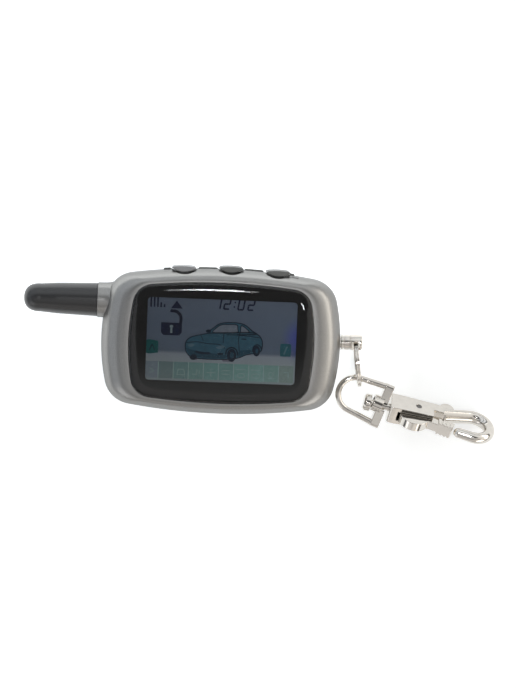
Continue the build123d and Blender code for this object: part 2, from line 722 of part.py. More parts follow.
# Swivel hook
hook_frame = bow_frame * Pos(plate_middle, 0, 0) * Rot(Z=hook_axis_angle - bow_axis_angle) * Rot(X=hook_roll)
half_width, half_thick = hook_width / 2, hook_thickness / 2
nose_low, nose_high = hook_nose_rise - hook_nose_width / 2, hook_nose_rise + hook_nose_width / 2
side_view = make_face(Polyline(
    [(hook_start, -half_width), (hook_start + hook_collar_length, -half_width), (hook_nose_x, nose_low),
     (hook_nose_x, nose_high), (hook_start + hook_collar_length, half_width), (hook_start, half_width)], close=True))
body = extrude(Pos(0, 0, -half_thick) * side_view, hook_thickness)
taper = (hook_thickness - hook_nose_thickness) / 2
for side in (-1, 1):
    wedge = make_face(Polyline(
        [(hook_taper_start, 0, side * half_thick), (hook_nose_x, 0, side * (half_thick - taper)),
         (hook_nose_x, 0, side * 2 * half_thick), (hook_taper_start, 0, side * 2 * half_thick)], close=True))
    body -= extrude(wedge, hook_width, both=True)
body = fillet(body.edges().filter_by(Axis.Z), hook_edge)

loop_middle = Vector(loop_centre_x, 0)
root = loop_middle + Vector(loop_radius, 0).rotate(Axis.Z, loop_root_angle)
root_angle = radians(loop_root_angle - 90)
limb_root = (limb_root_x, root.Y - (root.X - limb_root_x) * sin(root_angle) / cos(root_angle))
far_point = loop_middle + Vector(loop_radius, 0)
arc_end = loop_middle + Vector(loop_radius, 0).rotate(Axis.Z, loop_end_angle)
end_angle = radians(loop_end_angle - 90)
tip_point = arc_end + Vector(cos(end_angle), sin(end_angle)) * tip_run
limb = Wire([
    Line(limb_root, (root.X, root.Y)),
    ThreePointArc((root.X, root.Y), (far_point.X, far_point.Y), (arc_end.X, arc_end.Y)),
    Line((arc_end.X, arc_end.Y), (tip_point.X, tip_point.Y)),
])
start = Plane(origin=limb @ 0, x_dir=(0, 0, 1), z_dir=limb % 0) * Ellipse(loop_root_depth, loop_root_width)
finish = Plane(origin=limb @ 1, x_dir=(0, 0, 1), z_dir=limb % 1) * Ellipse(loop_tip_tube, loop_tip_tube)
loop = sweep([start, finish], limb, multisection=True)
loop += Pos(tip_point.X, tip_point.Y, 0) * Sphere(loop_tip_tube)
lug_half = hook_nose_thickness / 2 - lug_inset
lug = upright(lug_x, lug_y, -lug_half, lug_half, lug_radius)
stem = spin_x(
    [(rivet_head_start, rivet_head_radius - rivet_edge), (rivet_head_start + rivet_edge, rivet_head_radius),
     (rivet_head_start + rivet_head_length, rivet_head_radius), (rivet_head_start + rivet_head_length, stem_radius),
     (hook_start + over, stem_radius)], 0, 0)
hook = body + loop + lug + stem
channel_low = -4 * half_width
hook -= block(channel_start, hook_nose_x + channel_overrun, channel_low, channel_floor,
              -channel_width / 2, channel_width / 2)
hook -= block(cheek_end_x, hook_nose_x + 2 * over, channel_low, cheek_cut_y, -half_thick, half_thick)
hook -= upright(*pin_place, -far, far, pin_radius + running_gap)
parts["hook_body"] = hook_frame * hook
pin_half = half_thick - pin_inset
pin = upright(*pin_place, -pin_half, pin_half, pin_radius)
parts["lever_pin"] = hook_frame * pin

# Spring lever: heel, hub and gate arm in the hook's channel, with a ridged nose that closes the loop
px, py = pin_place
edge = [
    ThreePointArc(heel, belly, arm_start),
    Line(arm_start, nose_out),
    Line(nose_out, nose_in),
    Line(nose_in, arm_inner),
    Line(arm_inner, (px + lever_hub_radius, py)),
    Line((px + lever_hub_radius, py), (px - lever_hub_radius, py)),
    Line((px - lever_hub_radius, py), heel_inner),
    Line(heel_inner, heel),
]
lever_face = make_face(edge)
lever = extrude(Pos(0, 0, -lever_width / 2) * lever_face, lever_width)
lever += upright(px, py, -lever_width / 2, lever_width / 2, lever_hub_radius)
nose_room = block(lever_nose_start, far, -far, 0, -lever_nose_width / 2, lever_nose_width / 2)
lever += extrude(Pos(0, 0, -lever_nose_width / 2) * lever_face, lever_nose_width) & nose_room
to_tip = sqrt((tip_point.X - px) ** 2 + (tip_point.Y - py) ** 2)
lever &= upright(px, py, -far, far, to_tip - loop_tip_tube - nose_gap)
for n in range(ridge_count):
    x = lever_nose_start + ridge_first + n * ridge_pitch
    for side in (-1, 1):
        z = side * lever_nose_width / 2
        lever -= Pos(x, ridge_y, z) * Rot(Z=ridge_angle) * Box(ridge_width, ridge_length, 2 * ridge_depth)
lever -= upright(px, py, -far, far, pin_radius + running_gap)
parts["hook_lever"] = hook_frame * lever

os.makedirs("parts", exist_ok=True)
for name, shape in parts.items():
    export_step(shape, f"parts/{name}.step")
    print(name, len(shape.solids()), round(shape.volume, 2))
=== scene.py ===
# %% [markdown]
# # A pager-style car alarm key fob
#
# This lesson dresses a finished CAD model of a pocket car alarm remote: a silver case with a
# display under a glossy black window, a stub antenna, three rubber buttons and a swivel snap hook.
# The CAD model is the frame. It already has every solid in its right place and size, in metres,
# with the display facing up (+Z), the antenna to the left (-X) and the buttons on the far side
# (+Y). Blender adds what CAD can't: finishes, light, and the picture on the display.

# %% Load the frame
from math import atan2, cos, hypot, pi, sin, sqrt

import bmesh
import bpy
from mathutils import Matrix, Vector


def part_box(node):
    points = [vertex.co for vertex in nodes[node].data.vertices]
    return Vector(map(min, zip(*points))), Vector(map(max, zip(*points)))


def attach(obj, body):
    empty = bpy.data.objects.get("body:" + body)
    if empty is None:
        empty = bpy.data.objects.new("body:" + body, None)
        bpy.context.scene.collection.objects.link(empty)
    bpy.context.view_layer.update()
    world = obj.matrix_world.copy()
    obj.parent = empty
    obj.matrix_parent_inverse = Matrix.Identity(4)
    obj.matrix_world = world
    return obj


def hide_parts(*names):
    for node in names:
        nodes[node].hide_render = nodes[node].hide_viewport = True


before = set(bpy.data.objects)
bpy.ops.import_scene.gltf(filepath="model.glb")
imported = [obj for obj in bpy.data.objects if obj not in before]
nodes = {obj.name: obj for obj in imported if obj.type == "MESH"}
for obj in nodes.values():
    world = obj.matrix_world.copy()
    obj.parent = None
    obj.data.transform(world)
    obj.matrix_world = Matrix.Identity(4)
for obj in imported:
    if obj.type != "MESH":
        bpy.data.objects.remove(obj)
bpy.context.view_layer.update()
mm = 0.001

# %% [markdown]
# ## The camera
#
# A product photo like this one is taken from straight above with a long lens, so that the case
# keeps its true outline. The camera leans a few degrees towards the buttons, which shows a little
# of the button side, and the fob lies turned by two degrees in the picture. A direction, a distance
# and a roll describe that better than three rotation angles, so the camera is built from its own
# axes.

# %% Camera
LOOK_AT = Vector((10.23, -0.46, 9.0)) * mm
CAMERA_DISTANCE = 520 * mm
LEAN_TO_BUTTONS = 0.0851
LEAN_TO_KEY_END = -0.0401
ROLL = 0.0422
LENS = 99.2
CLIP_START, CLIP_END = 0.01, 20


def link(thing):
    """Puts a new object into the scene."""
    bpy.context.scene.collection.objects.link(thing)
    return thing


def camera_axes():
    """The camera's right, up and back directions."""
    back = Vector((LEAN_TO_KEY_END, LEAN_TO_BUTTONS, 0))
    back.z = sqrt(1 - back.length_squared)
    right = Vector((0, 1, 0)).cross(back).normalized()
    up = back.cross(right)
    return right * cos(ROLL) + up * sin(ROLL), up * cos(ROLL) - right * sin(ROLL), back


camera = link(bpy.data.objects.new("camera", bpy.data.cameras.new("camera")))
right, up, back = camera_axes()
turn = Matrix((right, up, back)).transposed()
camera.matrix_world = Matrix.Translation(LOOK_AT + back * CAMERA_DISTANCE) @ turn.to_4x4()
camera.data.lens = LENS
camera.data.clip_start, camera.data.clip_end = CLIP_START, CLIP_END
bpy.context.scene.camera = camera
print("camera at", [round(v, 3) for v in camera.location])

# %% [markdown]
# ## Floor and lamps
#
# Small shiny things are photographed in a light tent: white cloth all round, soft light from the
# sides and a hole above, where the lens looks in. The fob lies on a flat floor, and area lights
# stand inside the tent, because only a light with a size gives soft shadows and wide reflections.
# Two overhead strips make the streak in the window, the smaller one its bright core. A small lamp
# makes the glint at the window's right end, a warm key stands beside the key end, and two weak
# fills stand in front.

# %% Floor
FLOOR_SIZE = 6.0
FLOOR_DROP = 0.02 * mm

half = FLOOR_SIZE / 2
corners = [(x * half, y * half, -FLOOR_DROP) for x, y in ((-1, -1), (1, -1), (1, 1), (-1, 1))]
floor_mesh = bpy.data.meshes.new("floor")
floor_mesh.from_pydata(corners, [], [(0, 1, 2, 3)])
floor = link(bpy.data.objects.new("floor", floor_mesh))
print("floor", FLOOR_SIZE, "m")

# %% Soft boxes
SOFT_BOXES = {
    # name: (shape, place in metres, width, height, watts, colour)
    "strip_core": ("ELLIPSE", (0.013, 0.118, 1.000), 0.066, 0.100, 0.420, (0.96, 0.97, 1.0)),
    "strip_wide": ("ELLIPSE", (0.010, 0.118, 1.002), 0.096, 0.150, 0.190, (0.96, 0.97, 1.0)),
    "glint": ("ELLIPSE", (0.140, -0.024, 1.000), 0.040, 0.034, 0.170, (0.98, 0.98, 1.0)),
    "key_side": ("RECTANGLE", (0.455, 0.12, 0.16), 0.52, 0.15, 0.54, (1.0, 0.94, 0.85)),
    "fill_side": ("RECTANGLE", (0.30, -0.36, 0.20), 0.30, 0.20, 0.34, (1.0, 0.98, 0.95)),
    "fill_left": ("RECTANGLE", (-0.32, -0.34, 0.20), 0.24, 0.20, 0.13, (1.0, 1.0, 1.0)),
}
AIM = Vector((0.01, 0, 0.005))
for name, (shape, place, width, height, watts, colour) in SOFT_BOXES.items():
    lamp = bpy.data.lights.new(name, "AREA")
    lamp.shape = shape
    lamp.size, lamp.size_y = width, height
    lamp.energy = watts
    lamp.color = colour
    box = link(bpy.data.objects.new(name, lamp))
    box.location = place
    box.rotation_euler = (Vector(place) - AIM).to_track_quat("Z", "Y").to_euler()
print("soft boxes", len(SOFT_BOXES))

# %% [markdown]
# ## Helpers for nodes
#
# The tent, the floor and every finish are node trees, and a node tree written out in Python says
# the same few things again and again: make a node, set its numbers, link its inputs. These helpers
# take up what repeats. Each makes one node and returns the output that the next one needs, so that
# a tree reads like a formula.


# %% Node helpers
def feed(tree, socket, value):
    """Gives a socket a value, or a link where the value is another node's output."""
    if isinstance(value, bpy.types.NodeSocket):
        tree.links.new(value, socket)
    else:
        socket.default_value = value


def maths(tree, operation, *values, kind="Math"):
    """The result of a maths node, of the kind Math or VectorMath."""
    node = tree.nodes.new("ShaderNode" + kind)
    node.operation = operation
    for socket, value in zip(node.inputs, values):
        feed(tree, socket, value)
    is_number = kind == "Math" or operation in ("LENGTH", "DISTANCE")
    return node.outputs["Value" if is_number else "Vector"]


def span(tree, value, start, end, low=0, high=1, soft=False):
    """Maps a value that runs from start to end on to low to high, with soft ends if asked."""
    node = tree.nodes.new("ShaderNodeMapRange")
    if soft:
        node.interpolation_type = "SMOOTHSTEP"
    limits = {"Value": value, "From Min": start, "From Max": end, "To Min": low, "To Max": high}
    for socket, limit in limits.items():
        feed(tree, node.inputs[socket], limit)
    return node.outputs["Result"]


def ramp(tree, source, stops):
    """A colour ramp: stops are (position, colour)."""
    node = tree.nodes.new("ShaderNodeValToRGB")
    elements = node.color_ramp.elements
    while len(elements) < len(stops):
        elements.new(0.5)
    for element, (position, colour) in zip(elements, stops):
        element.position = position
        element.color = (*colour, 1)
    feed(tree, node.inputs["Fac"], source)
    return node.outputs["Color"]


def coordinates(tree, kind):
    """Where a point lies, in Generated or Object coordinates."""
    return tree.nodes.new("ShaderNodeTexCoord").outputs[kind]


def axes(tree, place):
    """The X, Y and Z of a place, each by itself."""
    split = tree.nodes.new("ShaderNodeSeparateXYZ")
    feed(tree, split.inputs["Vector"], place)
    return split.outputs


def principled(name):
    """A new material, with its node tree and its shader."""
    material = bpy.data.materials.new(name)
    material.use_nodes = True
    tree = material.node_tree
    return material, tree, tree.nodes["Principled BSDF"]


print("helpers for nodes: feed, maths, span, ramp, coordinates, axes, principled")

# %% [markdown]
# ## The tent and the light table
#
# The flat window mirrors the hole in the tent and stays black, while the rounded rims and the
# nickel parts mirror the bright cloth. A modelled tent would need many faces and much light, so the
# tent here is the world, and its grey depends on the height. A dark band along the horizon and a
# second one higher up draw the thin dark lines in polished metal, and a dark seam dims the front on
# the antenna's side. The floor is a light table, brighter behind the buttons, so it stays white and
# lights the rims from below.

# %% Tent
TENT_BY_HEIGHT = [  # sine of the elevation, grey level
    (0.0, 0.16), (0.09, 0.16), (0.20, 0.97), (0.38, 1.14), (0.405, 0.12), (0.455, 0.12),
    (0.475, 1.14), (0.75, 0.87), (0.93, 0.70), (1.0, 0.80)]
TENT_TO_KEY_END = (0.16, 0.11, 0.04)  # what is added towards +X, red, green and blue
TENT_TO_BUTTONS = (0.14, 0.18, 0.22)  # and towards +Y
HOLE_MIDDLE = (0.0, 0.20, 0.0)
HOLE_REACH = (0.45, 0.30, 10.0)
HOLE_EDGE = (0.96, 1.10)  # shares of its reach at which the hole ends and the cloth begins
HOLE_LEVEL = 0.15
SEAM_HEIGHTS = [(0.66, 0.0), (0.71, 1.0), (0.78, 1.0), (0.84, 0.0)]
SEAM_LEAN = 0.5
SEAM_SIDE = (0.15, -0.15)
SEAM_DEPTH = 0.80


def tent():
    """A sky whose grey depends on the height, with two tints, a dark hole on top and a seam."""
    world = bpy.data.worlds.new("tent")
    world.use_nodes = True
    tree = world.node_tree
    place = coordinates(tree, "Generated")
    x, y, z = axes(tree, place)
    grey, seam = (ramp(tree, z, [(height, (level,) * 3) for height, level in stops])
                  for stops in (TENT_BY_HEIGHT, SEAM_HEIGHTS))
    tint = maths(tree, "MULTIPLY_ADD", x, TENT_TO_KEY_END, (1, 1, 1), kind="VectorMath")
    tint = maths(tree, "MULTIPLY_ADD", y, TENT_TO_BUTTONS, tint, kind="VectorMath")
    cloth = maths(tree, "MULTIPLY", grey, tint, kind="VectorMath")
    away = maths(tree, "SUBTRACT", place, HOLE_MIDDLE, kind="VectorMath")
    share = maths(tree, "DIVIDE", away, HOLE_REACH, kind="VectorMath")
    reach = maths(tree, "LENGTH", share, kind="VectorMath")
    hole = span(tree, reach, *HOLE_EDGE, HOLE_LEVEL, 1, soft=True)
    front_left = maths(tree, "MULTIPLY_ADD", x, SEAM_LEAN, y)
    side = span(tree, front_left, *SEAM_SIDE, 0, SEAM_DEPTH)
    unseamed = maths(tree, "SUBTRACT", 1, maths(tree, "MULTIPLY", seam, side))
    dim = maths(tree, "MULTIPLY", hole, unseamed)
    light = maths(tree, "MULTIPLY", cloth, dim, kind="VectorMath")
    feed(tree, tree.nodes["Background"].inputs["Color"], light)
    return world


bpy.context.scene.world = tent()
bpy.context.scene.view_settings.view_transform = "Standard"
print("tent with", len(TENT_BY_HEIGHT), "heights")

# %% Light table
TABLE_WHITE = (0.93, 0.93, 0.93, 1)
TABLE_ROUGHNESS = 0.9
GLOW_COLOUR = (0.93, 0.98, 1, 1)
GLOW = (0.27, 1.30)  # in front and behind the buttons
GLOW_DEPTH = (-0.06, 0.08)  # from where to where in y it grows
GLOW_END = (0.030, 0.055)  # from where to where in x it fades towards the hook

table, table_tree, table_shader = principled("light_table")
table_shader.inputs["Base Color"].default_value = TABLE_WHITE
table_shader.inputs["Roughness"].default_value = TABLE_ROUGHNESS
table_shader.inputs["Emission Color"].default_value = GLOW_COLOUR
table_axes = axes(table_tree, coordinates(table_tree, "Object"))
glow_behind = span(table_tree, table_axes["X"], *GLOW_END, GLOW[1], GLOW[0])
glow = span(table_tree, table_axes["Y"], *GLOW_DEPTH, GLOW[0], glow_behind)
feed(table_tree, table_shader.inputs["Emission Strength"], glow)
floor_mesh.materials.append(table)
print("light table glows from", GLOW[0], "to", GLOW[1])

# %% [markdown]
# ## A finish from nodes
#
# Every finish here is one principled shader with three things that real surfaces have: a colour
# that varies a little, a gloss that varies a little, and a fine relief. The variation comes from
# noise in the object's own coordinates, so it keeps its real size on every piece and needs no
# unwrapping. Sharp CAD edges also catch no light, and real edges do. The bevel node rounds the
# shading there.

# %% Finish helper
NOISE_DETAIL = 4
TONE_STOPS = (0.3, 0.7)  # most of the noise lies between these
LEAST_ROUGHNESS = 0.02
BEVEL_SAMPLES = 4
BUMP_STRENGTH = 0.5


def noise(tree, place, grain, detail=2):
    """Noise with lumps of the size of the grain."""
    node = tree.nodes.new("ShaderNodeTexNoise")
    node.inputs["Scale"].default_value = 1 / grain
    node.inputs["Detail"].default_value = detail
    feed(tree, node.inputs["Vector"], place)
    return node.outputs["Fac"]


def uneven(tree, lumps, colour, spread):
    """The colour, darker and lighter by the spread where the lumps are low and high."""
    tones = [[min(c * share, 1) for c in colour] for share in (1 - spread, 1 + spread)]
    return ramp(tree, lumps, list(zip(TONE_STOPS, tones)))


def finish(name, colour, metallic=0.0, rough=0.5, grain=0.3 * mm, colour_spread=0.05,
           rough_spread=0.05, relief=0.004 * mm, edge=0.12 * mm, **sockets):
    """A material whose colour, gloss and relief vary with noise of the given grain."""
    material, tree, shader = principled(name)
    shader.inputs["Metallic"].default_value = metallic
    for socket, value in sockets.items():
        shader.inputs[socket.replace("_", " ")].default_value = value
    lumps = noise(tree, coordinates(tree, "Object"), grain, NOISE_DETAIL)
    feed(tree, shader.inputs["Base Color"], uneven(tree, lumps, colour, colour_spread))
    least = max(rough - rough_spread, LEAST_ROUGHNESS)
    feed(tree, shader.inputs["Roughness"], span(tree, lumps, 0, 1, least, rough + rough_spread))
    rounded = tree.nodes.new("ShaderNodeBevel")
    rounded.samples = BEVEL_SAMPLES
    rounded.inputs["Radius"].default_value = edge
    bump = tree.nodes.new("ShaderNodeBump")
    bump.inputs["Strength"].default_value = BUMP_STRENGTH
    bump.inputs["Distance"].default_value = relief
    feed(tree, bump.inputs["Height"], lumps)
    feed(tree, bump.inputs["Normal"], rounded.outputs["Normal"])
    feed(tree, shader.inputs["Normal"], bump.outputs["Normal"])
    return material


def dress(material, *names):
    """Gives CAD nodes a finish."""
    for name in names:
        thing = nodes[name]
        thing.data.materials.clear()
        thing.data.materials.append(material)


# %% [markdown]
# ## The silver case
#
# The case is moulded plastic with satin silver paint. Such paint is a clear binder full of tiny
# aluminium flakes: under it the colour is a mid grey, it shines softly, and the flakes give a fine
# sparkle. A metallic shader with a rather high roughness does this, with a grain of a sixth of a
# millimetre for the flakes. Its specular tint takes some of the shine from the edges, where the
# binder, and not the metal, meets the light.

# %% Silver paint
silver = finish("silver_paint", (0.30, 0.297, 0.290), metallic=1.0, rough=0.33, grain=0.16 * mm,
                colour_spread=0.15, rough_spread=0.07, relief=0.003 * mm, edge=0.25 * mm,
                Specular_Tint=(0.6, 0.6, 0.6, 1))
dress(silver, "front_cover", "rear_cover", "battery_door")
print("silver paint on 3 pieces")

# %% [markdown]
# ## The window
#
# The window is one clear moulding with a rolled edge, printed black on its back all round the view.
# It is modelled the same way: a transparent body over a black sheet. The shine then lies on the
# front of the window and the black lies below it, which gives the deep look of the real thing.
# The CAD solid arrives as facets, and a polished surface shows each of them in what it mirrors, so
# the streak of light breaks up. A mesh of the same form, built from even rings and shaded smooth,
# stands for it. Its outline has four bowed sides, arcs of large circles, and rounded corners.

# %% Clear plastic
ACRYLIC = (0.93, 0.94, 0.96, 1)
ACRYLIC_IOR = 1.49
WINDOW_GRAIN = 3 * mm
WINDOW_GLOSS = (0.012, 0.024)


def clear_plastic(name):
    """Glass-clear plastic, polished a little unevenly."""
    material, tree, shader = principled(name)
    shader.inputs["Base Color"].default_value = ACRYLIC
    shader.inputs["IOR"].default_value = ACRYLIC_IOR
    shader.inputs["Transmission Weight"].default_value = 1.0
    lumps = noise(tree, coordinates(tree, "Object"), WINDOW_GRAIN)
    feed(tree, shader.inputs["Roughness"], span(tree, lumps, 0, 1, *WINDOW_GLOSS))
    return material


clear_window = clear_plastic("clear_window")
print("clear plastic with an index of refraction of", ACRYLIC_IOR)

# %% Outline of the window
# In millimetres. The bows are the radii of the long and the short sides.
WINDOW_LENGTH, WINDOW_WIDTH, WINDOW_CORNER = 50.0, 32.6, 5.6
LONG_BOW, SHORT_BOW = 196.0, 70.0
SIDE_STEPS, CORNER_STEPS = 28, 16


def barrel_quarter(length, width, corner):
    """Points from the middle of the long side round the rounded corner to the middle of the end."""
    x, y = length / 2, width / 2
    long_centre, short_centre = Vector((0, y - LONG_BOW)), Vector((x - SHORT_BOW, 0))
    # The corner's middle lies where the two sides' circles, made smaller by the corner, cross.
    long_reach, short_reach = LONG_BOW - corner, SHORT_BOW - corner
    gap = short_centre - long_centre
    along = (long_reach ** 2 - short_reach ** 2 + gap.length_squared) / (2 * gap.length)
    off = sqrt(long_reach ** 2 - along ** 2)
    axis = gap.normalized()
    middle = long_centre + axis * along + Vector((axis.y, -axis.x)) * off
    start = atan2(middle.y - long_centre.y, middle.x - long_centre.x)
    end = atan2(middle.y - short_centre.y, middle.x - short_centre.x)
    points = []
    for centre, radius, low, high, steps in (
            (long_centre, LONG_BOW, pi / 2, start, SIDE_STEPS),
            (middle, corner, start, end, CORNER_STEPS),
            (short_centre, SHORT_BOW, end, 0, SIDE_STEPS)):
        for n in range(steps):
            angle = low + (high - low) * n / steps
            points.append((centre.x + radius * cos(angle), centre.y + radius * sin(angle)))
    return points + [(x, 0)]


def barrel_ring(length, width, corner):
    """The whole outline, from its first quarter mirrored twice."""
    quarter = barrel_quarter(length, width, corner)
    right_half = quarter + [(x, -y) for x, y in quarter[-2::-1]]
    return right_half + [(-x, y) for x, y in right_half[-2:0:-1]]


print("outline of", len(barrel_ring(WINDOW_LENGTH, WINDOW_WIDTH, WINDOW_CORNER)), "points")

# %% Window
# Heights in millimetres, and the width of the rolled edge.
WINDOW_BACK, WINDOW_RIM, WINDOW_RISE, WINDOW_ROLL = 16.49, 17.3, 0.75, 2.6
ROLL_STEPS = 20


def window_shell():
    """The window as a closed mesh: flat back, upright edge, rolled front and flat face."""
    levels = [(0, WINDOW_BACK)]
    for n in range(ROLL_STEPS + 1):
        angle = pi / 2 * n / ROLL_STEPS
        levels.append((WINDOW_ROLL * (1 - cos(angle)), WINDOW_RIM + WINDOW_RISE * sin(angle)))
    shape = bmesh.new()
    rings = []
    for inset, z in levels:
        outline = barrel_ring(WINDOW_LENGTH - 2 * inset, WINDOW_WIDTH - 2 * inset,
                              WINDOW_CORNER - inset / 2)
        rings.append([shape.verts.new((x * mm, y * mm, z * mm)) for x, y in outline])
    for lower, upper in zip(rings, rings[1:]):
        for n in range(len(lower)):
            face = shape.faces.new((lower[n - 1], lower[n], upper[n], upper[n - 1]))
            face.smooth = True
    shape.faces.new(rings[0])
    shape.faces.new(rings[-1])
    bmesh.ops.recalc_face_normals(shape, faces=shape.faces)
    mesh = bpy.data.meshes.new("window_shell")
    shape.to_mesh(mesh)
    shape.free()
    return mesh


window_mesh = window_shell()
window_mesh.materials.append(clear_window)
window = link(bpy.data.objects.new("rolled_window", window_mesh))
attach(window, "housing")
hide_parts("display_window")
print("window of", len(window_mesh.polygons), "faces")

# %% Black print
black_print = finish("black_print", (0.008, 0.0078, 0.0080), rough=0.5, grain=4 * mm,
                     colour_spread=0.02, rough_spread=0.01, relief=0, Specular_IOR_Level=0.12)
dress(black_print, "window_mask")
print("print on the back of the window")

# %% [markdown]
# ## Rubber, nickel and the rest
#
# The antenna sleeve is smooth black rubber, and the buttons are a softer, greyer rubber. The first
# button is paler and a little shinier: its paler colour is painted light, a lit copy of the button
# rubber. Hook, rings and post are die-cast and bright nickel plated: almost a mirror, with faint
# waves from polishing. The lever's pin is a darker metal, which is painted shade for the hollow at
# the rivet's end. The pieces inside show only when the battery door is off, but they get their own
# finishes too.

# %% Rubber and nickel
antenna_rubber = finish("antenna_rubber", (0.005, 0.005, 0.006), rough=0.33, grain=0.35 * mm,
                        colour_spread=0.2, rough_spread=0.06, relief=0.003 * mm,
                        Specular_IOR_Level=0.8)
button_rubber = finish("button_rubber", (0.130, 0.133, 0.128), rough=0.48, grain=0.25 * mm,
                       colour_spread=0.12, rough_spread=0.08, relief=0.008 * mm)
# The first button's paler colour is painted light: a lit copy of the button rubber.
lit_button_rubber = finish("lit_button_rubber", (0.270, 0.273, 0.278), rough=0.42, grain=0.25 * mm,
                     colour_spread=0.14, rough_spread=0.08, relief=0.006 * mm)
nickel = finish("bright_nickel", (0.66, 0.63, 0.585), metallic=1.0, rough=0.06, grain=1.6 * mm,
                colour_spread=0.04, rough_spread=0.03, relief=0.006 * mm, edge=0.28 * mm)
# The pin's dark colour is painted shade for the hollow at the rivet's end.
pin_painted_shade = finish("pin_painted_shade", (0.16, 0.155, 0.15), metallic=1.0, rough=0.3)
dress(antenna_rubber, "antenna_sleeve")
dress(button_rubber, "button_2", "button_3", "button_web")
dress(lit_button_rubber, "button_1")
dress(nickel, "key_post", "link_ring", "d_ring", "hook_body", "hook_lever")
dress(pin_painted_shade, "lever_pin")
print("finishes so far", len(bpy.data.materials))

# %% Finishes of the pieces inside
tinned_steel = finish("tinned_steel", (0.62, 0.62, 0.60), metallic=1.0, rough=0.3, grain=0.8 * mm)
zinc_steel = finish("zinc_steel", (0.30, 0.30, 0.31), metallic=1.0, rough=0.35)
sintered_weight = finish("sintered_weight", (0.35, 0.34, 0.33), metallic=1.0, rough=0.5)
moulded_black = finish("moulded_black", (0.02, 0.02, 0.02), rough=0.45)
board_green = finish("board_green", (0.02, 0.16, 0.07), rough=0.35, grain=2 * mm,
                     colour_spread=0.15)
contact_rubber = finish("contact_rubber", (0.20, 0.20, 0.22), rough=0.7)
antenna_brass = finish("antenna_brass", (0.75, 0.58, 0.30), metallic=1.0, rough=0.3)
frosted_white = finish("frosted_white", (0.80, 0.82, 0.80), rough=0.6)
cell_jacket = finish("cell_jacket", (0.04, 0.16, 0.28), metallic=0.3, rough=0.3)
rear_glass = finish("rear_glass", (0.92, 0.92, 0.92), rough=0.8, grain=20 * mm,
                    colour_spread=0.004, relief=0)
dress(tinned_steel, "radio_shield", "crystal_can", "vibration_motor", "negative_contact",
      "positive_contact")
dress(zinc_steel, "case_screws")
dress(sintered_weight, "motor_weight")
dress(moulded_black, "processor_chip", "buzzer", "antenna_ferrule", "tact_switches")
dress(board_green, "main_board")
dress(contact_rubber, "contact_strips")
dress(antenna_brass, "antenna_rod")
dress(frosted_white, "backlight_diffuser")
dress(cell_jacket, "battery_cell")
dress(rear_glass, "lcd_rear_glass")
print("finishes", len(bpy.data.materials))

# %% [markdown]
# ## The display's ground
#
# A display of this kind is a grey-blue glass, a little lighter below, with a band of green tiles
# along its lower edge. Painted light lies on it unevenly: it is weaker on the left, and a violet
# pool of painted light lies at the right edge, as from a lamp shining in. Gradients in the object's
# coordinates draw this. The glass lies deep in the case under the clear window, and it glows with a
# part of its colour: painted light that stands in for the lamp light the window keeps from it.

# %% Display light
VIEW_X = (-20.2, 20.2)
VIEW_Y = (-10.6, 11.8)
LIT_LEFT, LIT_RIGHT = 1.00, 1.36
DISPLAY_ROUGHNESS = 0.5
DISPLAY_GLOW = 0.5


def display_shader(name):
    """A material with no gloss of its own, that glows with a part of its colour as painted light.
    """
    material, tree, shader = principled(name)
    shader.inputs["Roughness"].default_value = DISPLAY_ROUGHNESS
    shader.inputs["Specular IOR Level"].default_value = 0
    shader.inputs["Emission Strength"].default_value = DISPLAY_GLOW
    return material, tree, shader, coordinates(tree, "Object")


def lit_across(tree, place, colour):
    """The colour with painted light: weaker at the left end of the display, stronger at the right.
    """
    share = span(tree, axes(tree, place)["X"], VIEW_X[0] * mm, VIEW_X[1] * mm,
                 LIT_LEFT, LIT_RIGHT)
    return maths(tree, "MULTIPLY", colour, share, kind="VectorMath")


def show(tree, shader, colour):
    """Makes the surface and its own light the same colour."""
    for socket in ("Base Color", "Emission Color"):
        feed(tree, shader.inputs[socket], colour)


print("display", [round(VIEW_X[1] - VIEW_X[0], 1), round(VIEW_Y[1] - VIEW_Y[0], 1)], "mm")

# %% Display ground
GLASS_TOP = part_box("lcd_front_glass")[1].z
GROUND = [  # share of the view's height, colour
    (0.0, (0.090, 0.110, 0.114)), (0.24, (0.098, 0.114, 0.122)), (0.325, (0.094, 0.108, 0.122)),
    (0.365, (0.040, 0.052, 0.070)), (0.75, (0.043, 0.055, 0.075)), (1.0, (0.047, 0.058, 0.077))]
# A violet pool of painted light at the display's right edge.
VIOLET = (0.035, 0.045, 0.17, 1)
VIOLET_X, VIOLET_Y = 21.0, 1.6
VIOLET_REACH = 5.5 * mm
VIOLET_SQUEEZE = 0.75  # below 1 the glow is taller than it is wide


def display_ground():
    """The glass behind the picture, from its lower edge (0) to its upper edge (1)."""
    material, tree, shader, place = display_shader("display_ground")
    height = span(tree, axes(tree, place)["Y"], VIEW_Y[0] * mm, VIEW_Y[1] * mm)
    ground = ramp(tree, height, GROUND)
    squeezed = maths(tree, "MULTIPLY", place, (1, VIOLET_SQUEEZE, 1), kind="VectorMath")
    lamp_place = (VIOLET_X * mm, VIOLET_SQUEEZE * VIOLET_Y * mm, GLASS_TOP)
    reach = maths(tree, "DISTANCE", squeezed, lamp_place, kind="VectorMath")
    mix = tree.nodes.new("ShaderNodeMix")
    mix.data_type = "RGBA"
    mix.inputs["B"].default_value = VIOLET
    feed(tree, mix.inputs["Factor"], span(tree, reach, 0, VIOLET_REACH, 1, 0, soft=True))
    feed(tree, mix.inputs["A"], lit_across(tree, place, ground))
    show(tree, shader, mix.outputs["Result"])
    return material


dress(display_ground(), "lcd_front_glass")
print("display glass at", round(GLASS_TOP / mm, 2), "mm")

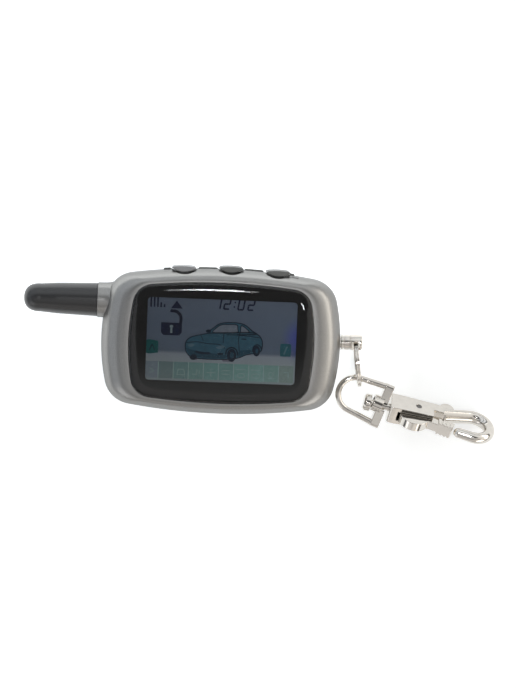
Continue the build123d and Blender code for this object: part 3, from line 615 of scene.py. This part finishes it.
# %% [markdown]
# ## Marks on the display
#
# The picture on such a display is a set of flat electrodes: icons, digits and a car. Each is cut
# from a thin sheet here, as a real mesh three hundredths of a millimetre thick, so that it stays
# crisp at any size. Outlines are lists of points in millimetres, and a spline through a few points
# gives the round ones. Lines are ribbons along a path. The car is a plain pictogram made up for
# this lesson.

# %% Outline helpers
STROKE_OVERLAP = 0.6  # of half the width of a ribbon, so that its strokes join
SHORTEST_STROKE = 1e-6


def ellipse(x, y, rx, ry, steps=28):
    """Points round an ellipse."""
    return [(x + rx * cos(2 * pi * n / steps), y + ry * sin(2 * pi * n / steps))
            for n in range(steps)]


def smooth(points, closed=True, steps=6):
    """Points along a Catmull-Rom spline through the given points."""
    count = len(points)
    result = []
    for n in range(count if closed else count - 1):
        near = [points[k % count] if closed else points[min(max(k, 0), count - 1)]
                for k in (n - 1, n, n + 1, n + 2)]
        for step in range(steps):
            t = step / steps
            result.append(tuple(
                0.5 * (2 * start + (end - before) * t
                       + (2 * before - 5 * start + 4 * end - after) * t * t
                       + (3 * start - 3 * end + after - before) * t ** 3)
                for before, start, end, after in zip(*near)))
    return result if closed else result + [points[-1]]


def ribbon(path, width, closed=False):
    """Outlines of straight strokes along a path, each lengthened a little so that they join."""
    outlines = []
    points = path + path[:1] if closed else path
    for (x0, y0), (x1, y1) in zip(points, points[1:]):
        length = hypot(x1 - x0, y1 - y0)
        if length < SHORTEST_STROKE:
            continue
        ux, uy = (x1 - x0) / length, (y1 - y0) / length
        ax, ay = ux * width / 2 * STROKE_OVERLAP, uy * width / 2 * STROKE_OVERLAP
        nx, ny = -uy * width / 2, ux * width / 2
        outlines.append([(x0 - ax + nx, y0 - ay + ny), (x0 - ax - nx, y0 - ay - ny),
                         (x1 + ax - nx, y1 + ay - ny), (x1 + ax + nx, y1 + ay + ny)])
    return outlines


print("an ellipse has", len(ellipse(0, 0, 1, 1)), "points")

# %% Sheets and inks
SHEET = 0.03 * mm
SHEET_THICKNESS = 0.9  # of the step from one layer to the next
SHEET_GAP = 0.004 * mm
LIFT = 0.35  # moves the whole picture towards the buttons, in millimetres
INK_GRAIN = 0.9 * mm


def sheet(name, outlines, layer, material):
    """Thin plates cut to the outlines, on the given layer above the display's glass."""
    mesh = bpy.data.meshes.new(name)
    shape = bmesh.new()
    low = GLASS_TOP + layer * SHEET + SHEET_GAP
    for points in outlines:
        ring = [shape.verts.new((x * mm, (y + LIFT) * mm, low)) for x, y in points]
        face = shape.faces.new(ring)
        raised = bmesh.ops.extrude_face_region(shape, geom=[face])["geom"]
        top = [part for part in raised if isinstance(part, bmesh.types.BMVert)]
        bmesh.ops.translate(shape, vec=(0, 0, SHEET * SHEET_THICKNESS), verts=top)
    bmesh.ops.recalc_face_normals(shape, faces=shape.faces)
    shape.to_mesh(mesh)
    shape.free()
    mesh.materials.append(material)
    piece = link(bpy.data.objects.new(name, mesh))
    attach(piece, "housing")
    print(name, len(outlines), "plates")


def ink(name, colour, spread=0.10):
    """A flat display colour, uneven by a few percent as electrodes are, with painted light across
    it.
    """
    material, tree, shader, place = display_shader(name)
    tone = uneven(tree, noise(tree, place, INK_GRAIN), colour, spread)
    show(tree, shader, lit_across(tree, place, tone))
    return material


dark_ink = ink("dark_ink", (0.003, 0.005, 0.015))
line_ink = ink("line_ink", (0.003, 0.007, 0.014))
body_ink = ink("car_body_ink", (0.014, 0.039, 0.056))
shade_ink = ink("car_shade_ink", (0.007, 0.023, 0.035))
glass_ink = ink("car_glass_ink", (0.058, 0.069, 0.084))
pale_ink = ink("pale_ink", (0.070, 0.092, 0.098))
warm_ink = ink("ground_shadow_ink", (0.052, 0.050, 0.064))
print("inks", sum("ink" in material.name for material in bpy.data.materials))

# %% Icons of the upper row
BAR_FOOT, BAR_WIDTH = 8.8, 0.45
BARS = ((-19.5, 11.4), (-18.6, 11.4), (-17.7, 11.4), (-16.8, 10.1), (-15.9, 9.6))  # left end, top
signal_bars = [[(x, BAR_FOOT), (x + BAR_WIDTH, BAR_FOOT), (x + BAR_WIDTH, top), (x, top)]
               for x, top in BARS]
warning = [(-13.9, 8.6), (-10.8, 8.6), (-12.35, 10.7)]
sheet("signal_and_warning_marks", signal_bars + [warning], 1, dark_ink)

# %% Padlock
lock_body = [(-15.7, 1.3), (-11.5, 1.3), (-10.8, 2.1), (-10.8, 4.7), (-16.4, 4.7), (-16.4, 2.1)]
shackle = smooth([(-11.2, 4.4), (-11.1, 5.9), (-11.5, 7.0), (-12.5, 7.8), (-13.8, 7.9)],
                 closed=False)
keyhole = [ellipse(-13.6, 3.7, 0.50, 0.42),
           [(-13.85, 3.6), (-13.9, 1.9), (-13.3, 1.9), (-13.35, 3.6)]]
sheet("padlock_mark", [lock_body] + ribbon(shackle, 0.8), 1, dark_ink)
sheet("padlock_keyhole", keyhole, 2, pale_ink)

# %% Clock digits
DIGIT_HEIGHT, DIGIT_WIDTH, DIGIT_LEAN = 2.7, 1.45, 0.16
SEGMENT_WIDTH, SEGMENT_GAP = 0.42, 0.16


def digit(x, y, lit):
    """Seven-segment digit: lit names the segments a to g."""
    w, h = DIGIT_WIDTH, DIGIT_HEIGHT / 2
    ends = {"a": ((0, 2 * h), (w, 2 * h)), "b": ((w, 2 * h), (w, h)), "c": ((w, h), (w, 0)),
            "d": ((0, 0), (w, 0)), "e": ((0, 0), (0, h)), "f": ((0, h), (0, 2 * h)),
            "g": ((0, h), (w, h))}
    strokes = []
    for name in lit:
        (x0, y0), (x1, y1) = ends[name]
        length = hypot(x1 - x0, y1 - y0)
        ux, uy = (x1 - x0) / length * SEGMENT_GAP, (y1 - y0) / length * SEGMENT_GAP
        path = [(x + u + DIGIT_LEAN * v, y + v)
                for u, v in ((x0 + ux, y0 + uy), (x1 - ux, y1 - uy))]
        strokes += ribbon(path, SEGMENT_WIDTH)
    return strokes


digits = digit(-2.2, 8.95, "bc") + digit(0.3, 8.95, "abged")
digits += digit(4.1, 8.9, "abcdef") + digit(6.8, 8.9, "abged")
colon = [ellipse(3.15, 9.6, 0.22, 0.22), ellipse(3.35, 10.8, 0.22, 0.22)]
sheet("clock_digits", digits + colon, 1, dark_ink)

# %% Side squares
left_square = smooth([(-20.3, -3.6), (-17.4, -3.6), (-17.0, -3.2), (-17.0, -0.7), (-17.4, -0.3),
                      (-20.3, -0.3)])
right_square = smooth([(16.4, -3.3), (18.5, -3.3), (18.9, -2.9), (18.9, -0.3), (18.5, 0.1),
                       (16.4, 0.1), (16.0, -0.3), (16.0, -2.9)])
arrow = ribbon([(-19.3, -2.8), (-18.6, -1.3), (-17.9, -2.8)], 0.25)
stroke = ribbon([(17.1, -2.6), (17.8, -0.7)], 0.4)
sheet("left_square", [left_square], 1, ink("left_teal_ink", (0.002, 0.034, 0.034)))
sheet("right_square", [right_square], 1, ink("right_teal_ink", (0.008, 0.036, 0.045)))
sheet("square_marks", arrow, 2, line_ink)
sheet("right_square_mark", stroke, 2, ink("mark_ink", (0.030, 0.060, 0.072)))

# %% [markdown]
# ### The car
#
# A car pictogram needs few forms to be read: a body, a roof, glass, wheels and some lines. Plates
# that overlap must not share a height, or the picture flickers where they meet. So they lie in
# layers: the shadows on the ground, the body, its shaded parts, the glass, the lines, and last the
# lamps and the hubs.

# %% Car body
car_body = smooth([(-9.7, -1.5), (-9.3, 0.1), (-7.8, 1.2), (-4.6, 2.0), (-2.8, 2.3), (2.0, 2.5),
                   (7.4, 2.8), (9.7, 2.4), (10.9, 1.0), (11.1, -0.9), (10.4, -2.4), (7.0, -3.2),
                   (4.6, -4.2), (1.0, -4.7), (-4.0, -4.8), (-7.6, -4.5), (-9.2, -3.3)])
car_roof = smooth([(-3.2, 2.3), (-2.0, 3.9), (-0.6, 4.9), (1.6, 5.3), (4.4, 5.3), (6.4, 4.7),
                   (8.2, 3.3), (9.2, 2.4), (3.0, 2.1)])
windscreen = smooth([(-2.4, 2.55), (-1.3, 3.9), (-0.2, 4.6), (1.8, 4.8), (4.0, 4.75), (4.3, 3.6),
                     (4.2, 2.75), (1.0, 2.55)], steps=4)
side_window = smooth([(5.2, 2.8), (5.1, 3.8), (5.3, 4.6), (6.3, 4.1), (7.4, 3.0), (6.6, 2.8)],
                     steps=4)
ground_shadows = [[(0.1, -4.5), (0.6, -5.3), (3.4, -5.3), (3.9, -4.4)],
                  [(-8.6, -4.3), (-8.0, -5.1), (-6.4, -5.1), (-6.2, -4.6)]]
front_shade = smooth([(-9.4, -1.9), (-8.8, -3.2), (-7.4, -4.2), (-4.0, -4.5), (1.0, -4.4),
                      (1.3, -3.6), (-3.0, -3.1), (-7.6, -2.5)])
side_shade = smooth([(4.6, -3.9), (6.8, -3.0), (8.0, -2.7), (8.0, -1.9), (5.0, -2.2),
                     (4.4, -3.0)])
sheet("car_body_mark", [car_body, car_roof], 1, body_ink)
sheet("ground_shadows", ground_shadows, 0, warm_ink)
sheet("car_shade_mark", [front_shade, side_shade], 2, shade_ink)
sheet("car_glass_mark", [windscreen, side_window], 3, glass_ink)

# %% Car lines
ROOF_EDGE = 48  # points of the roof's outline before it runs back over the body
wheels = [ellipse(2.9, -3.5, 1.25, 1.75), ellipse(9.6, -2.1, 0.95, 1.45),
          ellipse(-7.4, -4.4, 0.95, 0.75)]
grille = [smooth([(-6.9, -2.6), (-5.0, -2.9), (-3.2, -2.9), (-2.9, -3.4), (-5.0, -3.5),
                  (-6.6, -3.2)], steps=4),
          smooth([(-0.9, -3.1), (0.4, -3.0), (0.5, -3.4), (-0.7, -3.5)], steps=4)]
bonnet_front = smooth([(-9.3, -0.5), (-6.6, -0.2), (-3.6, -0.6), (-0.6, -0.7), (1.0, -1.6)],
                      closed=False)
bonnet_lines = ribbon(bonnet_front, 0.20)
bonnet_lines += ribbon([(-5.6, 1.7), (-4.9, 0.2)], 0.16) + ribbon([(0.6, 2.2), (0.5, -0.2)], 0.16)
door_edge = smooth([(4.9, 2.6), (4.6, 0.6), (4.8, -1.0), (4.9, -2.2)], closed=False)
waist = smooth([(1.4, 2.0), (5.0, 2.0), (10.6, 1.5)], closed=False)
door_lines = ribbon(door_edge, 0.18) + ribbon(waist, 0.16) + ribbon([(5.5, 1.0), (6.6, 1.0)], 0.22)
front_arch = smooth([(1.3, -3.4), (1.6, -2.1), (2.8, -1.4), (4.1, -2.0), (4.5, -3.3)],
                    closed=False)
rear_arch = smooth([(8.5, -2.3), (8.8, -1.0), (9.7, -0.4), (10.6, -0.9), (11.0, -1.8)],
                   closed=False)
arches = ribbon(front_arch, 0.34) + ribbon(rear_arch, 0.28)
mirror = [smooth([(-4.0, 2.4), (-4.2, 3.1), (-3.2, 3.2), (-2.9, 2.6)], steps=4)]
outline = ribbon(car_body, 0.26, closed=True) + ribbon(car_roof[:ROOF_EDGE], 0.26)
outline += ribbon(windscreen, 0.22, closed=True) + ribbon(side_window, 0.22, closed=True)
car_lines = wheels + grille + bonnet_lines + door_lines + arches + mirror + outline
sheet("car_line_marks", car_lines, 4, line_ink)

# %% Car lamps and hubs
lamps = [smooth([(-9.0, -1.2), (-7.9, -0.7), (-7.2, -1.1), (-8.2, -1.7)], steps=4),
         smooth([(-1.3, -1.5), (0.1, -0.9), (1.0, -1.3), (-0.4, -2.0)], steps=4)]
hubs = [ellipse(3.0, -3.5, 0.55, 0.85), ellipse(9.7, -2.1, 0.38, 0.65)]
sheet("car_lamp_marks", lamps, 5, ink("lamp_ink", (0.030, 0.055, 0.070)))
sheet("car_hub_marks", hubs, 5, shade_ink)

# %% [markdown]
# ### The tiles
#
# Ten tiles stand in a row along the lower edge, each of its own green and parted by pale lines. The
# icons on them are only faintly lit, as they are on a display at rest, so they are thin strokes in
# an ink that is hardly lighter than the tiles. Each is drawn round the origin and then moved.

# %% Tiles of the lower row
TILE_PITCH = 4.07
TILE_FIRST = -20.82
TILE_LOW, TILE_HIGH = -10.4, -5.85
TILE_GAP = 0.1  # from a tile's edge to the middle of the line beside it
TILE_OVERHANG = 0.3  # of the outer tiles past the view
TILE_LINE = 0.16
TILE_SPREAD = 0.06
TILE_INKS = [(0.066, 0.084, 0.096), (0.050, 0.074, 0.074), (0.052, 0.092, 0.088),
             (0.054, 0.100, 0.092), (0.054, 0.106, 0.098), (0.056, 0.106, 0.098),
             (0.062, 0.118, 0.108), (0.068, 0.124, 0.114), (0.064, 0.112, 0.102),
             (0.070, 0.098, 0.090)]
tile_lines = []
for n, colour in enumerate(TILE_INKS):
    tile_left = TILE_FIRST + n * TILE_PITCH + TILE_GAP
    tile_right = TILE_FIRST + (n + 1) * TILE_PITCH - TILE_GAP
    tile_left = max(tile_left, VIEW_X[0] - TILE_OVERHANG)
    tile_right = min(tile_right, VIEW_X[1] + TILE_OVERHANG)
    tile = [(tile_left, TILE_LOW), (tile_right, TILE_LOW), (tile_right, TILE_HIGH),
            (tile_left, TILE_HIGH)]
    sheet(f"tile_{n + 1}", [tile], 1, ink(f"tile_{n + 1}_ink", colour, TILE_SPREAD))
    if n > 0:
        line_x = tile_left - TILE_GAP
        tile_lines += ribbon([(line_x, TILE_LOW), (line_x, TILE_HIGH)], TILE_LINE)
sheet("tile_lines", tile_lines, 2, ink("tile_line_ink", (0.100, 0.150, 0.142)))

# %% Icons on the tiles
ICON_DROP = 0.3  # of the icons below the middle of the tiles
ICON_LINE = 0.17


def ring_path(rx, ry, y=0.0):
    """A closed path round an ellipse."""
    points = ellipse(0, y, rx, ry, 14)
    return points + points[:1]


ICONS = {  # tile, counted from 0: paths round the origin
    0: [[(-0.2, -0.7), (0.9, 0.0), (-0.2, 0.7)]],
    2: [[(-1.0, -0.9), (-0.7, 0.6), (0.8, 0.6), (1.1, -0.9), (-1.0, -0.9)]],
    3: [[(-1.0, -0.6), (0.3, -0.6), (0.3, 0.9)], [(0.9, -0.4), (0.9, 0.5)]],
    4: [[(-1.1, 0.0), (1.1, 0.0)], [(0.0, -1.0), (0.0, 1.0)]],
    5: [[(-1.0, 0.7), (1.0, 0.7)], [(-1.0, -0.3), (1.0, -0.3)]],
    6: [[(-1.2, 1.1), (1.2, 1.1)], ring_path(0.95, 0.6, -0.5)],
    7: [[(-1.2, 1.1), (1.2, 1.1)], ring_path(1.15, 0.6, -0.5)],
    8: [[(-0.8, -1.0), (0.9, -1.0)], ring_path(0.6, 0.7)],
    9: [[(-0.7, 0.8), (0.6, 0.8), (0.6, -0.8)]],
}
icon_y = (TILE_LOW + TILE_HIGH) / 2 - ICON_DROP
icon_strokes = []
for n, paths in ICONS.items():
    icon_x = TILE_FIRST + (n + 0.5) * TILE_PITCH
    for path in paths:
        icon_strokes += ribbon([(icon_x + u, icon_y + v) for u, v in path], ICON_LINE)
sheet("tile_icons", icon_strokes, 2, ink("faint_ink", (0.088, 0.132, 0.126)))
